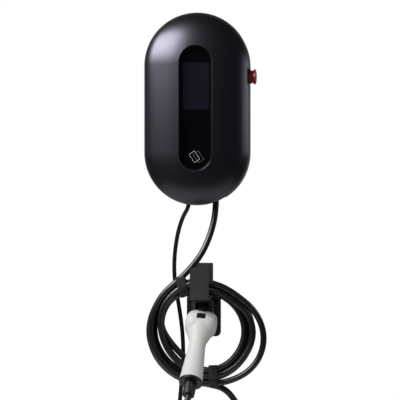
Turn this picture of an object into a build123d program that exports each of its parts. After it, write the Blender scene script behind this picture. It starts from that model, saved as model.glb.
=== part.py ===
"""Wall-mounted car charging station with its cable, wall holder and plug.

+Z is up, the wall is the plane Y = 0 and the front faces -Y. The origin is the
centre of the wall bracket's four screw holes on the wall. A "depth" is a
distance from the wall towards the viewer, so a point at depth d has Y = -d.
"""

from math import cos, pi, radians, sin, tan
import os

from build123d import *

# Charging station housing
body_width = 216
body_height = 394
body_back = 6
side_depth = 44
front_depth = 84
cover_wall = 3
tray_clearance = 1.3
tray_wall = 2.7
tray_rim = 46
gasket_thickness = 2
entry_wall_bottom = -152.5
entry_wall = 3

# Display window in the front cover
rim_width = 69.8
rim_height = 257.3
lens_width = 59.6
lens_height = 247
lens_front = 70
lens_thickness = 2
lens_seal_thickness = 0.5
window_ledge = 3
window_floor = 2.5
window_surround = 2.4
lens_fit = 0.3
screen_width = 56.8
screen_height = 104
screen_thickness = 4.7
screen_centre = 45
board_thickness = 1.6
board_depth = 55
reader_centre = -98
reader_depth = 59.4
boss_x = 31
boss_radius = 2.3
board_screw = 2.5
board_screw_length = 7

# Wall bracket
bracket_width = 116
bracket_height = 236
bracket_sheet = 2
wall_hole = 6
wall_hole_x = 80
wall_hole_edge = 28
hook_shelf_drop = 14
hook_shelf_depth = 10
hook_lip_height = 10
lock_tab_x = 9.5
lock_tab_width = 15
lock_screw_depth = 14

# Inside the tray
pocket_width = 128
pocket_room = 8
pocket_depth = 14
pocket_wall = 3
main_board_width = 112
main_board_height = 150
main_board_z = 35
main_board_depth = 26
cover_screw_points = [(86, 110), (-86, 110), (90, 0), (-90, 0), (86, -110), (-86, -110)]
cover_boss = 4.5
cover_screw = 4
cover_boss_depth = 12
cover_screw_grip = 12
cover_screw_head_depth = 2.5
notch_centre = 10
notch_width = 96
notch_rise = 22

# Stop button on the right side
stop_z = 66
stop_depth = 30
stop_face_x = 122
stop_head_d = 31.5
stop_head_length = 7
stop_neck_d = 25.6
stop_dome = 3
stop_neck_length = 5.5
stop_travel = 4
stop_thread_d = 22
stop_collar_d = 30
stop_thread_length = 17
stop_stem_d = 9.6
stop_socket = 3.4

# Cable glands under the housing
gland_depth = 26
supply_gland_x = -15
charging_gland_x = 38
supply_thread_d = 20
charging_thread_d = 25
gland_thread_length = 9
gland_flange = 5
gland_lower_thread = 10
gland_nut_length = 17.5
supply_cable_d = 8.65
charging_cable_d = 12.8

# Cable holder with its hook and plug dock
holder_x = 11
holder_plate_width = 70.6
holder_plate_top = -380
holder_plate_bottom = -468
holder_plate = 5
holder_top = -316
hook_width = 38
hook_depth = 114
hook_wall = 4.5
hook_floor_top = -381
hook_floor = 5.5
hook_floor_crown = 2.4
lip_top = -322
holder_hole = 5.2
holder_hole_head = 10.4
holder_hole_x = 50
holder_hole_z = 60
dock_z = -436
dock_depth = 50
dock_bore = 44.8
dock_wall = 4.4
catch_box_width = 42.5
catch_box_top = -392
catch_window_width = 27
catch_window_low = 24.2
catch_window_high = 41
catch_window_deep = 22
catch_ledge_top = 27
catch_ledge = 5

# Plug, in its own frame: nose axis level, u across, v up, w towards the viewer
plug_roll = 6.5
nose_d = 43.8
nose_length = 36
nose_wall = 2.6
head_half_width = 31.5
head_half_height = 27.4
head_drop = 2
head_straight = 22
head_back = 1.6
head_squareness = 3.2
handle_tilt = 41
handle_length = 138
handle_neck = 17.2
handle_end = 22.9
shell_wall = 3
rear_cap_length = 5.2
rear_cap_d = 46.6
rear_screw_x = 14.5
rear_screw_y = 5.3
plug_nut_d = 25
plug_nut_length = 28
latch_width = 16.5
latch_gap = 0.6
latch_pin_d = 3
latch_pin_v = 14
latch_pin_w = 17
latch_rib = 3
arm_slot_end = 24.2
pad_window_start = 35.4
pad_window_end = 45
sleeve_points = [(-8, 6, 4.6), (8, 6, 4.6), (0, -10, 4.6), (-12.4, -5, 3), (12.4, -5, 3)]
sleeve_wall = 1.1
contact_wall = 0.9

# Coil of the charging cable on the hook
coil_centre_x = 20
coil_centre_z = -455
coil_half_width = 122.5
coil_half_height = 112
coil_hole_x = 12
coil_hole_half_width = 80
coil_hole_half_height = 74.3
coil_front = 66
coil_thickness = 36
coil_edge = 12
core_d = 3.2
core_pitch = 2
core_length = 26
tie_thickness = 1.6
tie_width = 19
tie_gap = 0.4
tie_cable_room = 9

# Clearances between pieces
seat_gap = 0.3
slide_gap = 0.4


def facing(depth, x=0, z=0):
    """Plane parallel to the wall at a depth, seen from the front: x right, y up."""
    return Plane(origin=(x, -depth, z), x_dir=(1, 0, 0), z_dir=(0, -1, 0))


def level(z, x=0, depth=0):
    """Horizontal plane at a height, x right and y into the wall."""
    return Plane(origin=(x, -depth, z), x_dir=(1, 0, 0), z_dir=(0, 0, 1))


def sideways(x, depth, z):
    """Plane facing +X on the stop button's axis."""
    return Plane(origin=(x, -depth, z), x_dir=(0, 1, 0), z_dir=(1, 0, 0))


def capsule(plane, width, height):
    """Upright capsule outline: two straight sides and full round ends."""
    with BuildSketch(plane) as outline:
        SlotOverall(height, width, rotation=90)
    return outline.sketch


def pebble(width, height, back, side, front):
    """Capsule body with straight sides to one depth and a half-elliptical front."""
    half = width / 2
    straight = height / 2 - half
    with BuildSketch() as half_section:
        with BuildLine():
            Polyline([(0, -front), (0, -back), (half, -back), (half, -side)])
            EllipticalCenterArc((0, -side), half, front - side, start_angle=-90, arc_size=90)
        make_face()
    extrude(half_section.sketch, amount=straight, both=True)
    for end in (1, -1):
        lifted = half_section.sketch.moved(Location((0, 0, end * straight)))
        revolve(lifted, axis=Axis((0, 0, end * straight), (0, -end, 0)), revolution_arc=90)
    mirror(about=Plane.YZ)


def pan_screw(shank, length, head, head_height):
    """Screw with its seat at z = 0, its head above and a hexagon recess."""
    with BuildPart() as screw:
        Cylinder(shank / 2, length, align=(Align.CENTER, Align.CENTER, Align.MAX))
        Cylinder(head / 2, head_height, align=(Align.CENTER, Align.CENTER, Align.MIN))
        fillet(screw.faces().sort_by(Axis.Z)[-1].edges(), head_height / 4)
        with BuildSketch(Plane.XY.offset(head_height)):
            RegularPolygon(head / 4, 6)
        extrude(amount=-head_height / 2, mode=Mode.SUBTRACT)
    return screw.part


def save(builder, label):
    """Names a finished piece and writes its file."""
    builder.part.label = label
    export_step(builder.part, f"parts/{label}.step")


os.makedirs("parts", exist_ok=True)

# Sizes that follow from the values above
cover_inner_width = body_width - 2 * cover_wall
cover_inner_height = body_height - 2 * cover_wall
tray_width = cover_inner_width - 2 * tray_clearance
tray_height = cover_inner_height - 2 * tray_clearance
tray_inner_width = tray_width - 2 * tray_wall
tray_inner_height = tray_height - 2 * tray_wall
tray_floor = body_back + cover_wall
rib_back = tray_rim + gasket_thickness
lens_back = lens_front - lens_thickness
ledge_front = lens_back - lens_seal_thickness
ledge_back = ledge_front - window_floor
surround_width = rim_width + 2 * window_surround
surround_height = rim_height + 2 * window_surround
pocket_floor = pocket_depth + pocket_wall
side_face_x = tray_width / 2
entry_inner = entry_wall_bottom + entry_wall
board_boss_points = [(x, screen_centre + z) for x in (-boss_x, boss_x) for z in (-48, 48)]
board_boss_points += [(x, reader_centre + z) for x in (-boss_x, boss_x) for z in (-14, 14)]

# Wall bracket, folded from sheet
wall_hole_z = bracket_height - 2 * wall_hole_edge
hook_shelf_z = bracket_height / 2 - hook_shelf_drop
pocket_height = bracket_height + 2 * pocket_room
hook_lip_top = hook_shelf_z + bracket_sheet + hook_lip_height
lock_tab_top = entry_wall_bottom - seat_gap
with BuildPart() as wall_bracket:
    with BuildSketch(facing(0)):
        RectangleRounded(bracket_width, bracket_height, 6)
        with Locations((lock_tab_x, -bracket_height / 4)):
            Rectangle(lock_tab_width, bracket_height / 2 + 2 * (-lock_tab_top - bracket_height / 2))
        with Locations((0, 0)):
            RectangleRounded(44, 110, 10, mode=Mode.SUBTRACT)
        with GridLocations(wall_hole_x, wall_hole_z, 2, 2):
            Circle(wall_hole / 2, mode=Mode.SUBTRACT)
    extrude(amount=bracket_sheet)
    with BuildSketch(level(hook_shelf_z)):
        with Locations((0, -hook_shelf_depth / 2)):
            Rectangle(bracket_width - 20, hook_shelf_depth)
    extrude(amount=bracket_sheet)
    with BuildSketch(facing(hook_shelf_depth)):
        with Locations((0, hook_shelf_z + (bracket_sheet + hook_lip_height) / 2)):
            Rectangle(bracket_width - 20, bracket_sheet + hook_lip_height)
    extrude(amount=-bracket_sheet)
    with BuildSketch(level(lock_tab_top)):
        with Locations((lock_tab_x, -lock_screw_depth / 2 - 2)):
            Rectangle(lock_tab_width, lock_screw_depth + 4)
        with Locations((lock_tab_x, -lock_screw_depth)):
            Circle(2.2, mode=Mode.SUBTRACT)
    extrude(amount=-bracket_sheet)
save(wall_bracket, "wall_bracket")

# Rear housing: a tray with a raised floor over the bracket and a flat entry wall
with BuildPart() as rear_housing:
    extrude(capsule(facing(body_back), tray_width, tray_height), amount=tray_rim - body_back)
    with BuildSketch(facing(body_back)):
        with Locations((0, entry_wall_bottom)):
            Rectangle(tray_width + 10, tray_height, align=(Align.CENTER, Align.MAX))
    extrude(amount=tray_rim, mode=Mode.SUBTRACT)
    with BuildSketch(facing(tray_floor)) as tray_inside:
        SlotOverall(tray_inner_height, tray_inner_width, rotation=90)
        with Locations((0, entry_inner)):
            Rectangle(tray_width, tray_height, align=(Align.CENTER, Align.MAX), mode=Mode.SUBTRACT)
    extrude(amount=tray_rim, mode=Mode.SUBTRACT)
    with BuildSketch(facing(body_back)):
        RectangleRounded(pocket_width + 2 * pocket_wall, pocket_height + 2 * pocket_wall, 9)
    extrude(amount=pocket_floor - body_back)
    with BuildSketch(facing(body_back)):
        RectangleRounded(pocket_width, pocket_height, 7)
    extrude(amount=pocket_depth - body_back, mode=Mode.SUBTRACT)
    for hook_x in (-32, 32):
        with BuildSketch(facing(pocket_depth, hook_x)):
            with Locations((0, hook_lip_top + seat_gap)):
                Rectangle(26, 4, align=(Align.CENTER, Align.MIN))
        extrude(amount=-(pocket_depth - bracket_sheet - 2))
        with BuildSketch(facing(bracket_sheet + 2, hook_x)):
            with Locations((0, hook_shelf_z + bracket_sheet + seat_gap)):
                Rectangle(26, hook_lip_height + 4, align=(Align.CENTER, Align.MIN))
        extrude(amount=hook_shelf_depth - 2 * bracket_sheet - 2 - seat_gap)
    with BuildSketch(facing(tray_floor)):
        with Locations(*cover_screw_points):
            Circle(cover_boss)
    extrude(amount=cover_boss_depth - tray_floor - seat_gap)
    with BuildSketch(facing(pocket_floor, 0, main_board_z)):
        with GridLocations(main_board_width - 10, main_board_height - 10, 2, 2):
            Circle(3.5)
            Circle(1.6, mode=Mode.SUBTRACT)
    extrude(amount=main_board_depth - pocket_floor)
    with BuildSketch(level(entry_inner, lock_tab_x, lock_screw_depth)):
        Rectangle(10, 10)
    extrude(amount=9)
    with BuildSketch(facing(body_back)):
        with Locations(*cover_screw_points):
            Circle(cover_screw / 2 + 0.2)
    extrude(amount=cover_boss_depth, mode=Mode.SUBTRACT)
    with BuildSketch(facing(body_back)):
        with Locations(*cover_screw_points):
            Circle(4.2)
    extrude(amount=cover_screw_head_depth, mode=Mode.SUBTRACT)
    with BuildSketch(level(entry_wall_bottom)):
        with Locations((supply_gland_x, -gland_depth)):
            Circle(supply_thread_d / 2 + 0.2)
        with Locations((charging_gland_x, -gland_depth)):
            Circle(charging_thread_d / 2 + 0.2)
    extrude(amount=entry_wall, mode=Mode.SUBTRACT)
    with BuildSketch(level(entry_wall_bottom)):
        with Locations((lock_tab_x, -lock_screw_depth)):
            Circle(2.1)
    extrude(amount=9, mode=Mode.SUBTRACT)
    with BuildSketch(sideways(side_face_x, stop_depth, stop_z)):
        Circle(stop_thread_d / 2 + 0.2)
    extrude(amount=-2 * tray_wall, mode=Mode.SUBTRACT)
    fillet(rear_housing.edges().filter_by(Axis.Y).group_by(Axis.Z)[0], 2)
save(rear_housing, "rear_housing")

with BuildPart() as bracket_lock_screw:
    with Locations(Location(level(lock_tab_top - bracket_sheet, lock_tab_x, lock_screw_depth).location)):
        add(pan_screw(4, 10, 7.4, 2.6), rotation=(180, 0, 0))
save(bracket_lock_screw, "bracket_lock_screw")

# Gasket on the tray's rim
with BuildPart() as housing_gasket:
    with BuildSketch(facing(tray_rim)):
        SlotOverall(tray_height - 0.4, tray_width - 0.4, rotation=90)
        SlotOverall(tray_inner_height + 0.4, tray_inner_width + 0.4, rotation=90, mode=Mode.SUBTRACT)
        with Locations((0, entry_inner - 0.2)):
            Rectangle(tray_width, tray_height, align=(Align.CENTER, Align.MAX), mode=Mode.SUBTRACT)
        with BuildSketch(facing(tray_rim), mode=Mode.PRIVATE) as sill:
            SlotOverall(tray_height - 0.4, tray_width - 0.4, rotation=90)
            with Locations((0, entry_inner - entry_wall / 2)):
                Rectangle(tray_width, entry_wall - 0.4, mode=Mode.INTERSECT)
        add(sill.sketch)
    extrude(amount=gasket_thickness)
save(housing_gasket, "housing_gasket")

# Room inside the front cover: its inner surface less the rib, the window's surround and the bosses
with BuildPart() as cover_room:
    pebble(cover_inner_width, cover_inner_height, body_back - 1, side_depth, front_depth - cover_wall)
    with BuildSketch(facing(rib_back)):
        with BuildSketch(mode=Mode.PRIVATE) as rib_outside:
            SlotOverall(tray_height, tray_width, rotation=90)
            with Locations((0, entry_wall_bottom)):
                Rectangle(tray_width + 10, tray_height, align=(Align.CENTER, Align.MAX), mode=Mode.SUBTRACT)
        add(rib_outside.sketch)
        offset(rib_outside.sketch, amount=-tray_wall, mode=Mode.SUBTRACT)
    extrude(amount=front_depth, mode=Mode.SUBTRACT)
    with BuildSketch(facing(ledge_back)):
        SlotOverall(surround_height, surround_width, rotation=90)
    extrude(amount=front_depth, mode=Mode.SUBTRACT)
    with BuildSketch(facing(board_depth + board_thickness)):
        with Locations(*board_boss_points):
            Circle(boss_radius)
    extrude(amount=front_depth, mode=Mode.SUBTRACT)
    with BuildSketch(facing(cover_boss_depth)):
        with Locations(*cover_screw_points):
            Circle(cover_boss)
    extrude(amount=front_depth, mode=Mode.SUBTRACT)

# Front cover: one deep moulding that hides the tray, with the window's bevelled recess
with BuildPart() as front_cover:
    pebble(body_width, body_height, body_back, side_depth, front_depth)
    add(cover_room.part, mode=Mode.SUBTRACT)
    with BuildSketch(facing(ledge_front)):
        SlotOverall(lens_height + 2 * lens_fit, lens_width + 2 * lens_fit, rotation=90)
    extrude(amount=lens_thickness + lens_seal_thickness, mode=Mode.SUBTRACT)
    with BuildSketch(facing(lens_front)):
        SlotOverall(lens_height + 2 * lens_fit, lens_width + 2 * lens_fit, rotation=90)
    with BuildSketch(facing(front_depth)):
        SlotOverall(rim_height, rim_width, rotation=90)
    loft(mode=Mode.SUBTRACT)
    with BuildSketch(facing(ledge_back - 1)):
        SlotOverall(lens_height - 2 * window_ledge, lens_width - 2 * window_ledge, rotation=90)
    extrude(amount=front_depth, mode=Mode.SUBTRACT)
    with BuildSketch(facing(board_depth)):
        with Locations(*board_boss_points):
            Circle(board_screw / 2 + 0.1)
    extrude(amount=board_screw_length, mode=Mode.SUBTRACT)
    with BuildSketch(facing(cover_boss_depth)):
        with Locations(*cover_screw_points):
            Circle(cover_screw / 2 + 0.1)
    extrude(amount=cover_screw_grip, mode=Mode.SUBTRACT)
    with BuildSketch(facing(body_back - 1)):
        with Locations((notch_centre, -body_height / 2)):
            RectangleRounded(notch_width, 2 * notch_rise, 8)
    extrude(amount=side_depth - body_back, mode=Mode.SUBTRACT)
    with BuildSketch(sideways(side_face_x, stop_depth, stop_z)):
        SlotCenterPoint((0, 0), (stop_depth, 0), stop_collar_d + 2 * slide_gap)
    extrude(amount=tray_clearance + 2 * cover_wall, mode=Mode.SUBTRACT)
save(front_cover, "front_cover")

# Screws that hold the cover to the tray, put in from the back
with BuildPart() as cover_screws:
    head_seat = body_back + cover_screw_head_depth
    with Locations(*[facing(head_seat, x, z).location for x, z in cover_screw_points]):
        add(pan_screw(cover_screw, cover_boss_depth + cover_screw_grip - head_seat - 1, 7.6, 2.2), rotation=(180, 0, 0))
save(cover_screws, "cover_screws")

# Window: adhesive frame and lens
with BuildPart() as lens_seal:
    with BuildSketch(facing(ledge_front)):
        SlotOverall(lens_height - 0.6, lens_width - 0.6, rotation=90)
        SlotOverall(lens_height - 2 * window_ledge, lens_width - 2 * window_ledge, rotation=90, mode=Mode.SUBTRACT)
    extrude(amount=lens_seal_thickness)
save(lens_seal, "lens_seal")

with BuildPart() as display_lens:
    extrude(capsule(facing(lens_back), lens_width, lens_height), amount=lens_thickness)
    fillet(display_lens.faces().sort_by(Axis.Y)[0].edges(), 0.4)
save(display_lens, "display_lens")

# Display behind the window, on its board
with BuildPart() as display_module:
    with BuildSketch(facing(ledge_back - seat_gap, 0, screen_centre)):
        RectangleRounded(screen_width, screen_height, 1)
    extrude(amount=-screen_thickness)
    with BuildSketch(facing(ledge_back - seat_gap, 0, screen_centre)):
        RectangleRounded(screen_width - 5, screen_height - 6, 1)
    extrude(amount=window_floor - 0.6)
save(display_module, "display_module")

with BuildPart() as display_board:
    with BuildSketch(facing(board_depth, 0, screen_centre)):
        RectangleRounded(2 * boss_x + 6, screen_height + 6, 3)
        with GridLocations(2 * boss_x, 96, 2, 2):
            Circle(board_screw / 2 + 0.15, mode=Mode.SUBTRACT)
    extrude(amount=board_thickness)
    with BuildSketch(facing(board_depth + board_thickness, 0, screen_centre)):
        Rectangle(screen_width - 8, screen_height - 12)
    extrude(amount=ledge_back - 2 * seat_gap - screen_thickness - board_depth - board_thickness)
    with BuildSketch(facing(board_depth, 0, screen_centre - 30)):
        Rectangle(26, 5)
        with Locations((-12, 34)):
            Rectangle(14, 14)
    extrude(amount=-2.4)
save(display_board, "display_board")

with BuildPart() as reader_board:
    with BuildSketch(facing(board_depth, 0, reader_centre)):
        RectangleRounded(2 * boss_x + 6, 42, 3)
        with GridLocations(2 * boss_x, 28, 2, 2):
            Circle(board_screw / 2 + 0.15, mode=Mode.SUBTRACT)
    extrude(amount=board_thickness)
    with BuildSketch(facing(board_depth + board_thickness, 0, reader_centre)):
        for turn in range(4):
            RectangleRounded(50 - 4 * turn, 36 - 4 * turn, 3)
            RectangleRounded(48.4 - 4 * turn, 34.4 - 4 * turn, 2.4, mode=Mode.SUBTRACT)
    extrude(amount=0.2)
save(reader_board, "reader_board")

with BuildPart() as board_screws:
    with Locations(*[facing(board_depth - 0.1, x, z).location for x, z in board_boss_points]):
        add(pan_screw(board_screw, board_screw_length - 0.5, 4.6, 1.6), rotation=(180, 0, 0))
save(board_screws, "board_screws")

# Main circuit board and what stands on it
with BuildPart() as main_board:
    with BuildSketch(facing(main_board_depth + 0.1, 0, main_board_z)):
        RectangleRounded(main_board_width, main_board_height, 3)
        with GridLocations(main_board_width - 10, main_board_height - 10, 2, 2):
            Circle(1.8, mode=Mode.SUBTRACT)
    extrude(amount=board_thickness)
    with BuildSketch(facing(main_board_depth + 0.1 + board_thickness, 0, main_board_z)):
        with Locations((22 - main_board_width / 2, main_board_height / 2 - 25)):
            Rectangle(22, 22)
        with Locations((24 - main_board_width / 2, 20), (24 - main_board_width / 2, 6)):
            Rectangle(14, 9)
        with Locations((main_board_width / 2 - 26, 13 - main_board_height / 2)):
            Rectangle(36, 8)
    extrude(amount=4)
    with BuildSketch(facing(main_board_depth + 0.1 + board_thickness, 0, main_board_z)):
        with Locations((20 - main_board_width / 2, -26), (36 - main_board_width / 2, -26)):
            Circle(6)
    extrude(amount=14)
save(main_board, "main_board")

with BuildPart() as main_board_screws:
    corner_x = main_board_width / 2 - 5
    corner_z = main_board_height / 2 - 5
    with Locations(*[
        facing(main_board_depth + 0.2 + board_thickness, x, main_board_z + z).location
        for x in (-corner_x, corner_x)
        for z in (-corner_z, corner_z)
    ]):
        add(pan_screw(3, 8, 5.6, 2))
save(main_board_screws, "main_board_screws")

# Power side inside the tray
with BuildPart() as contactor:
    with BuildSketch(facing(pocket_floor + seat_gap, -36, -86)):
        RectangleRounded(42, 58, 2)
    extrude(amount=34)
    with BuildSketch(facing(pocket_floor + seat_gap + 34, -36, -86)):
        with GridLocations(10, 42, 4, 2):
            Rectangle(7, 9)
    extrude(amount=-6, mode=Mode.SUBTRACT)
save(contactor, "contactor")

module_x = main_board_width / 2 - 30
module_depth = main_board_depth + 0.4 + board_thickness
with BuildPart() as power_supply_module:
    with BuildSketch(facing(module_depth, module_x, main_board_z + main_board_height / 2 - 32)):
        RectangleRounded(44, 48, 2)
    extrude(amount=22)
save(power_supply_module, "power_supply_module")

with BuildPart() as current_sensor_ring:
    with BuildSketch(facing(module_depth, module_x, main_board_z - 5)):
        Circle(17)
        Circle(8, mode=Mode.SUBTRACT)
    extrude(amount=13)
    fillet(current_sensor_ring.edges().sort_by(Axis.Y)[:2], 2)
save(current_sensor_ring, "current_sensor_ring")

with BuildPart() as terminal_block:
    with BuildSketch(facing(pocket_floor + seat_gap, 26, -92)):
        RectangleRounded(66, 30, 1.5)
    extrude(amount=24)
    with BuildSketch(facing(pocket_floor + seat_gap + 24, 26, -92)):
        with GridLocations(12.5, 0, 5, 1):
            Circle(4)
    extrude(amount=-8, mode=Mode.SUBTRACT)
    with BuildSketch(level(-107.5, 26, pocket_floor + seat_gap + 9)):
        with GridLocations(12.5, 0, 5, 1):
            Rectangle(8, 8)
    extrude(amount=10, mode=Mode.SUBTRACT)
save(terminal_block, "terminal_block")

with BuildPart() as terminal_screws:
    with Locations(*[facing(pocket_floor + seat_gap + 16.3, 26 + 12.5 * step, -92).location for step in range(-2, 3)]):
        Cylinder(3.6, 3, align=(Align.CENTER, Align.CENTER, Align.MIN))
        with Locations((0, 0, 2.2)):
            Box(6, 1, 1.6, mode=Mode.SUBTRACT)
save(terminal_screws, "terminal_screws")

# Stop button: collar and thread in the tray's side, the plunger's neck in the collar and the head on its end
stop_plane = Plane(origin=(0, -stop_depth, stop_z), x_dir=(1, 0, 0), z_dir=(0, -1, 0))
stop_axis = Axis((0, -stop_depth, stop_z), (1, 0, 0))
stop_head_x = stop_face_x - stop_head_length
stop_neck_x = stop_head_x - stop_neck_length
collar_face_x = stop_head_x - stop_travel - slide_gap
collar_floor_x = stop_neck_x - stop_travel - slide_gap
stem_bore = stop_stem_d / 2 + 0.1
thread_end_x = side_face_x - stop_thread_length
with BuildPart() as stop_collar:
    with BuildSketch(stop_plane):
        with BuildLine():
            Polyline([
                (thread_end_x, stem_bore),
                (thread_end_x, stop_thread_d / 2),
                (side_face_x + seat_gap, stop_thread_d / 2),
                (side_face_x + seat_gap, stop_collar_d / 2),
                (collar_face_x - 1, stop_collar_d / 2),
                (collar_face_x, stop_collar_d / 2 - 1),
                (collar_face_x, stop_neck_d / 2 + slide_gap),
                (collar_floor_x, stop_neck_d / 2 + slide_gap),
                (collar_floor_x, stem_bore),
                (thread_end_x, stem_bore),
            ])
        make_face()
    revolve(axis=stop_axis)
save(stop_collar, "stop_collar")

with BuildPart() as stop_plunger:
    with BuildSketch(sideways(thread_end_x - 4, stop_depth, stop_z)):
        Circle(stop_stem_d / 2)
    extrude(amount=stop_head_x + stop_socket - slide_gap - thread_end_x + 4)
    with BuildSketch(sideways(stop_neck_x, stop_depth, stop_z)):
        Circle(stop_neck_d / 2)
    extrude(amount=stop_neck_length - slide_gap)
save(stop_plunger, "stop_plunger")

with BuildPart() as stop_head:
    with BuildSketch(stop_plane):
        with BuildLine():
            Polyline([
                (stop_head_x + stop_socket, 0),
                (stop_head_x + stop_socket, stem_bore),
                (stop_head_x, stem_bore),
                (stop_head_x, stop_neck_d / 2),
                (stop_head_x + 0.6, stop_head_d / 2 - 1.2),
                (stop_face_x - stop_dome, stop_head_d / 2),
            ])
            EllipticalCenterArc(
                (stop_face_x - stop_dome, 0), stop_dome, stop_head_d / 2, start_angle=0, arc_size=90
            )
            Line((stop_face_x, 0), (stop_head_x + stop_socket, 0))
        make_face()
    revolve(axis=stop_axis)
save(stop_head, "stop_head")

with BuildPart() as stop_locknut:
    with BuildSketch(sideways(side_face_x - tray_wall - seat_gap, stop_depth, stop_z)):
        RegularPolygon(13, 6, major_radius=False)
        Circle(stop_thread_d / 2 + 0.15, mode=Mode.SUBTRACT)
    extrude(amount=-3.6)
save(stop_locknut, "stop_locknut")

with BuildPart() as stop_contact_block:
    with BuildSketch(sideways(thread_end_x - seat_gap, stop_depth, stop_z)):
        RectangleRounded(24, 26, 1.5)
    extrude(amount=-24)
    with BuildSketch(sideways(thread_end_x - seat_gap, stop_depth, stop_z)):
        Circle(stop_stem_d / 2 + slide_gap)
    extrude(amount=-4 - stop_travel - 1, mode=Mode.SUBTRACT)
save(stop_contact_block, "stop_contact_block")


def gland_body(thread_d, bore_d):
    """Threaded body hanging from z = 0, with a hexagon flange and a thread each way."""
    with BuildPart() as body:
        Cylinder(thread_d / 2, gland_thread_length, align=(Align.CENTER, Align.CENTER, Align.MIN))
        with BuildSketch(Plane.XY.offset(-seat_gap)):
            RegularPolygon(0.6 * thread_d, 6, major_radius=False)
        extrude(amount=-gland_flange)
        Cylinder(
            0.47 * thread_d,
            seat_gap + gland_flange + gland_lower_thread,
            align=(Align.CENTER, Align.CENTER, Align.MAX),
        )
        Cylinder(bore_d / 2, 60, mode=Mode.SUBTRACT)
    return body.part


def gland_nut(thread_d, cable_d):
    """Domed nut under the flange with eight grip flutes."""
    top = -2 * seat_gap - gland_flange
    low = top - gland_nut_length
    outside = 0.6 * thread_d
    inside = 0.47 * thread_d + 0.15
    with BuildPart() as nut:
        with BuildSketch(Plane.XZ):
            with BuildLine():
                Polyline([
                    (cable_d / 2 + 1.2, low),
                    (cable_d / 2 + 1.2, low + 3),
                    (inside, low + 6),
                    (inside, top),
                    (outside, top),
                    (outside, low + 6),
                ])
                ThreePointArc(
                    (outside, low + 6),
                    (outside - 0.12 * thread_d, low + 1.8),
                    (cable_d / 2 + 1.2, low),
                )
            make_face()
        revolve(axis=Axis.Z)
        with BuildSketch(Plane.XY.offset(top)):
            with PolarLocations(outside + 1.2, 8):
                Circle(2)
        extrude(amount=-gland_nut_length + 6, mode=Mode.SUBTRACT)
    return nut.part


def gland_locknut(thread_d):
    """Flat hexagon nut on the inside of the entry wall."""
    with BuildPart() as nut:
        with BuildSketch(Plane.XY.offset(entry_wall + seat_gap)):
            RegularPolygon(0.6 * thread_d, 6, major_radius=False)
            Circle(thread_d / 2 + 0.15, mode=Mode.SUBTRACT)
        extrude(amount=4.5)
    return nut.part


def gland_seal(cable_d):
    """Rubber insert closed on the cable, flush with the nut's mouth."""
    low = -2 * seat_gap - gland_flange - gland_nut_length
    with BuildPart() as seal:
        with BuildSketch(Plane.XY.offset(low)):
            Circle(cable_d / 2 + 1)
        extrude(amount=gland_nut_length - 4)
    return seal.part


for gland, gland_x, thread_d, cable_d in (
    ("supply", supply_gland_x, supply_thread_d, supply_cable_d),
    ("charging", charging_gland_x, charging_thread_d, charging_cable_d),
):
    seat = Pos(gland_x, -gland_depth, entry_wall_bottom)
    for piece, shape in (
        ("body", gland_body(thread_d, cable_d + 2.6)),
        ("nut", gland_nut(thread_d, cable_d)),
        ("locknut", gland_locknut(thread_d)),
        ("seal", gland_seal(cable_d)),
    ):
        with BuildPart() as gland_piece:
            add(seat * shape)
        save(gland_piece, f"{gland}_gland_{piece}")
cable_exit_z = entry_wall_bottom - 4 * seat_gap - gland_flange - gland_nut_length

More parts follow.
